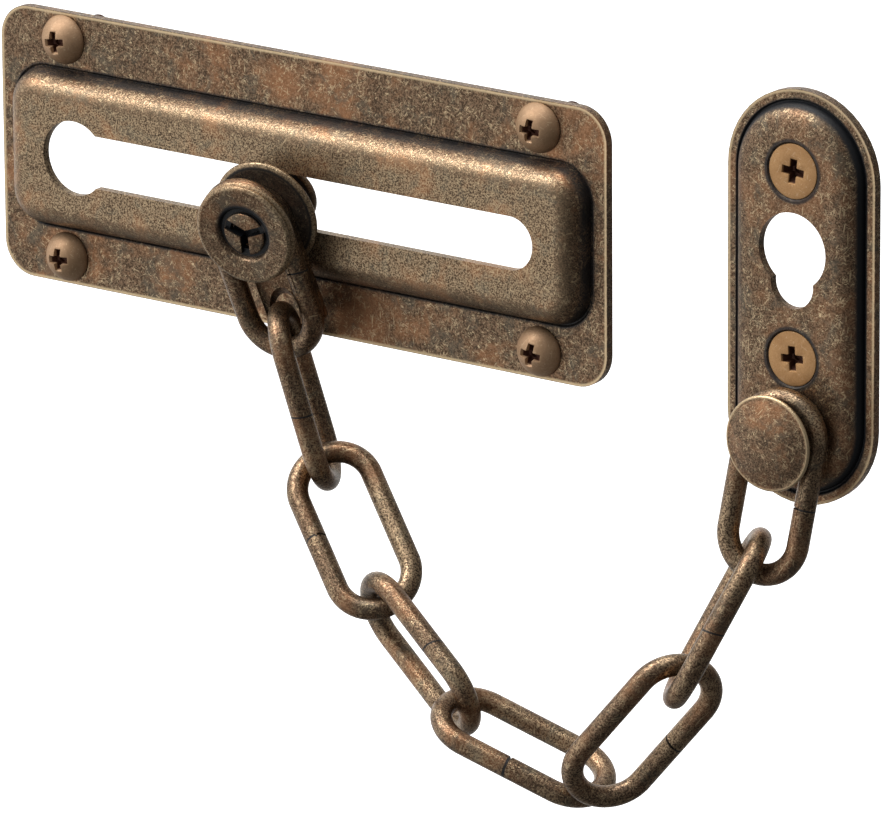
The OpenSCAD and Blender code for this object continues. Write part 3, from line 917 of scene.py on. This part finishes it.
# The turn in degrees and the width in millimetres of each cut that splits the rivet's end
rivet_cuts = ((20, 1.0), (155, 1.4), (270, 1.2))
for angle, width in rivet_cuts:
    bpy.ops.object.select_all(action="DESELECT")
    bpy.ops.mesh.primitive_cube_add(size=1, location=(1.85 * mm, 0, 8.6 * mm))
    split = bpy.context.object
    split.scale = (4.1 * mm, width * mm, 2.2 * mm)
    bpy.ops.object.transform_apply()
    split.rotation_euler.z = math.radians(angle)
    bpy.ops.object.transform_apply()
    cut(rivet, split)
soften_edges(rivet, 0.09 * mm, 40)
put(rivet, slider_place)
rivet.data.materials.append(slider_brass)
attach(rivet, "slider_rivet")
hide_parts("slider_rivet")

front_profile = [(2.2, 7.72), (6.1, 7.7), (6.6, 7.78), (6.86, 7.95), (6.88, 8.12), (6.74, 8.28), (6.5, 8.42),
                 (6.55, 8.6), (6.72, 8.75), (6.74, 8.92), (6.6, 9.08), (6.4, 9.17), (6.25, 9.2), (6.0, 9.16),
                 (5.8, 9.14), (4.1, 9.16), (3.8, 9.1), (3.62, 8.95), (3.52, 8.6), (3.45, 8.5), (2.2, 8.49)]
front_washer = turned("slider_front_washer_turned", front_profile, 96, ring=True)
rear_profile = ([(2.42, 2.62), (6.9, 2.6)] + bend(6.97, 3.05, 0.33, -75, 75, 7)
                + [(6.85, 3.44), (6.6, 3.5), (6.3, 3.46), (2.42, 3.46)])
rear_washer = turned("slider_rear_washer_turned", rear_profile, 96, ring=True)
for washer, body, node in ((front_washer, "slider_rivet", "slider_front_washer"),
                           (rear_washer, "slider", "slider_rear_washer")):
    only(washer)
    bpy.ops.object.shade_smooth_by_angle(angle=math.radians(45))
    put(washer, slider_place)
    washer.data.materials.append(slider_brass)
    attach(washer, body)
    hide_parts(node)


# The tongue: a flat brass strip with a round end on the rivet. It lies behind the first link and is
# notched to let the second link's wire pass.
tongue_half = 4.3 * mm
tongue_length = 14.9 * mm
tongue_back = 3.6 * mm
tongue_sheet = 0.9 * mm
tongue_hole_r = 2.2 * mm
tongue_turn = 14
notch_r = 2.2 * mm
notch_place = (1.8 * mm, -13.9 * mm, 4.05 * mm)
notch_tilt = -54.6
bpy.ops.object.select_all(action="DESELECT")
bpy.ops.mesh.primitive_plane_add(size=1, location=(0, (tongue_half - tongue_length) / 2, tongue_back))
tongue = bpy.context.object
tongue.name = "slider_tongue_cut"
tongue.scale = (2 * tongue_half, tongue_half + tongue_length, 1)
bpy.ops.object.transform_apply()
bpy.ops.object.mode_set(mode="EDIT")
pick("VERT", lambda vert: vert.co.y > 0)
bpy.ops.mesh.bevel(offset=tongue_half - 0.002 * mm, segments=18, profile=0.5, affect="VERTICES")
pick("VERT", lambda vert: vert.co.y < -10 * mm)
bpy.ops.mesh.bevel(offset=1.0 * mm, segments=6, profile=0.5, affect="VERTICES")
bpy.ops.object.mode_set(mode="OBJECT")
finish_modifier(tongue, "SOLIDIFY", thickness=tongue_sheet, offset=1)
put(tongue, Matrix.Rotation(math.radians(tongue_turn), 4, "Z"))
bpy.ops.object.select_all(action="DESELECT")
bpy.ops.mesh.primitive_cylinder_add(vertices=48, radius=tongue_hole_r, depth=6 * mm,
                                    location=(0, 0, 4 * mm))
cut(tongue, bpy.context.object)
bpy.ops.object.select_all(action="DESELECT")
bpy.ops.mesh.primitive_cylinder_add(vertices=64, radius=notch_r, depth=12 * mm,
                                    rotation=(math.radians(notch_tilt), 0, 0), location=notch_place)
bpy.ops.object.transform_apply()
cut(tongue, bpy.context.object)
soften_edges(tongue, 0.12 * mm)
put(tongue, slider_place)
tongue.data.materials.append(antique_brass("tongue_brass", warmth=0.5))
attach(tongue, "link_1")
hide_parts("slider_tongue")


# The chain: eight long links of 2.8 mm brass wire, each bent round and butted in the middle of one
# leg, where a fine dark seam shows, then antiqued and tumbled as a chain, which leaves the wire
# dark with rubbed gold on its outer side.
wire_r = 1.4 * mm
bend_r = 4.9 * mm
leg_half = 6.3 * mm
# Which leg each link is butted on (seen from the room), how far along it in millimetres, the seam's
# slant in degrees and its gap
seams = ((-1, 0.9, 10, 0.22), (1, 1.2, -8, 0.22), (1, -0.6, 14, 0.24), (1, 2.4, -12, 0.22),
         (1, 0.0, 6, 0.34), (-1, 0.6, -10, 0.24), (1, -1.2, 12, 0.22), (-1, -1.5, 6, 0.22))


def link_place(node):
    """Reads a link's centre and its long and wide directions off its solid."""
    mesh = frame["nodes"][node].data
    centres = np.empty(3 * len(mesh.polygons))
    areas = np.empty(len(mesh.polygons))
    mesh.polygons.foreach_get("center", centres)
    mesh.polygons.foreach_get("area", areas)
    centres = centres.reshape(-1, 3)
    middle = (centres * areas[:, None]).sum(0) / areas.sum()
    spread = (centres - middle).T @ ((centres - middle) * areas[:, None])
    ways = np.linalg.eigh(spread)[1]
    long_way = Vector(ways[:, 2])
    wide_way = Vector(ways[:, 1])
    if long_way.x < 0:
        long_way = -long_way
    if wide_way.dot(Vector((-0.6, -0.75, 0.3))) < 0:
        wide_way = -wide_way
    flat_way = wide_way.cross(long_way)
    turn = Matrix((long_way, flat_way, wide_way)).transposed()
    return Matrix.Translation(Vector(middle)) @ turn.to_4x4()


def wire_rubbed(tree, place, marks):
    """Worn in soft patches."""
    worn = ramp(tree, noise(tree, moved(tree, place, (0.5, 0.2, 0.1)), 160, 4), 0.46, 0.66)
    return times(tree, times(tree, worn, marks.outputs["Grain"]), 0.30)


for number, (leg, along, slant, gap) in enumerate(seams, start=1):
    node = "link_%d" % number
    bpy.ops.object.select_all(action="DESELECT")
    bpy.ops.mesh.primitive_torus_add(major_radius=bend_r, minor_radius=wire_r, major_segments=50,
                                     minor_segments=28, rotation=(math.radians(90), 0, 0))
    link = bpy.context.object
    link.name = node + "_bent_wire"
    bpy.ops.object.transform_apply()
    bpy.ops.object.mode_set(mode="EDIT")
    for side in (-1, 1):
        pick("VERT", lambda vert: vert.co.x * side > 0)
        bpy.ops.transform.translate(value=(side * leg_half, 0, 0))
    seam_normal = Vector((math.cos(math.radians(slant)), math.sin(math.radians(slant)), 0))
    seam_centre = Vector((along, 0, leg * 4.9)) * mm
    for offset in (-2.4, -0.6, 0, 0.6, 2.4):
        pick("FACE", lambda face: face.calc_center_median().z * leg > 1 * mm
             and all(abs(vert.co.x) < leg_half + 0.3 * mm for vert in face.verts))
        bpy.ops.mesh.bisect(plane_co=seam_centre + seam_normal * offset * gap * mm, plane_no=seam_normal)
    pick("VERT", lambda vert: abs((vert.co - seam_centre).dot(seam_normal)) < 0.1 * gap * mm
         and vert.co.z * leg > 0)
    bpy.ops.transform.resize(value=(1, 0.74, 0.74), center_override=seam_centre)
    bpy.ops.mesh.select_all(action="SELECT")
    bpy.ops.mesh.normals_make_consistent(inside=False)
    bpy.ops.object.mode_set(mode="OBJECT")
    bpy.ops.object.shade_smooth_by_angle(angle=math.radians(40))
    here = link_place(node)
    put(link, here)
    butt, butt_way = here @ seam_centre, here.to_3x3() @ seam_normal

    def seam_stained(tree, place, marks):
        along, off = along_and_off(tree, place, butt, butt_way)
        line = ramp(tree, sums(tree, "ABSOLUTE", along), 0.35 * gap * mm, 0.75 * gap * mm, 0.95, 0)
        return times(tree, line, ramp(tree, off, 1.8 * mm, 2.2 * mm, 1, 0))

    wire_brass = antique_brass(node + "_brass", dark=(0.066, 0.043, 0.028), mid=(0.26, 0.17, 0.106),
                               warmth=0.35, curls=0.55, rubbed=wire_rubbed, stain_and_shade=seam_stained, rough=0.34)
    link.data.materials.append(wire_brass)
    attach(link, node)
    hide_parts(node)
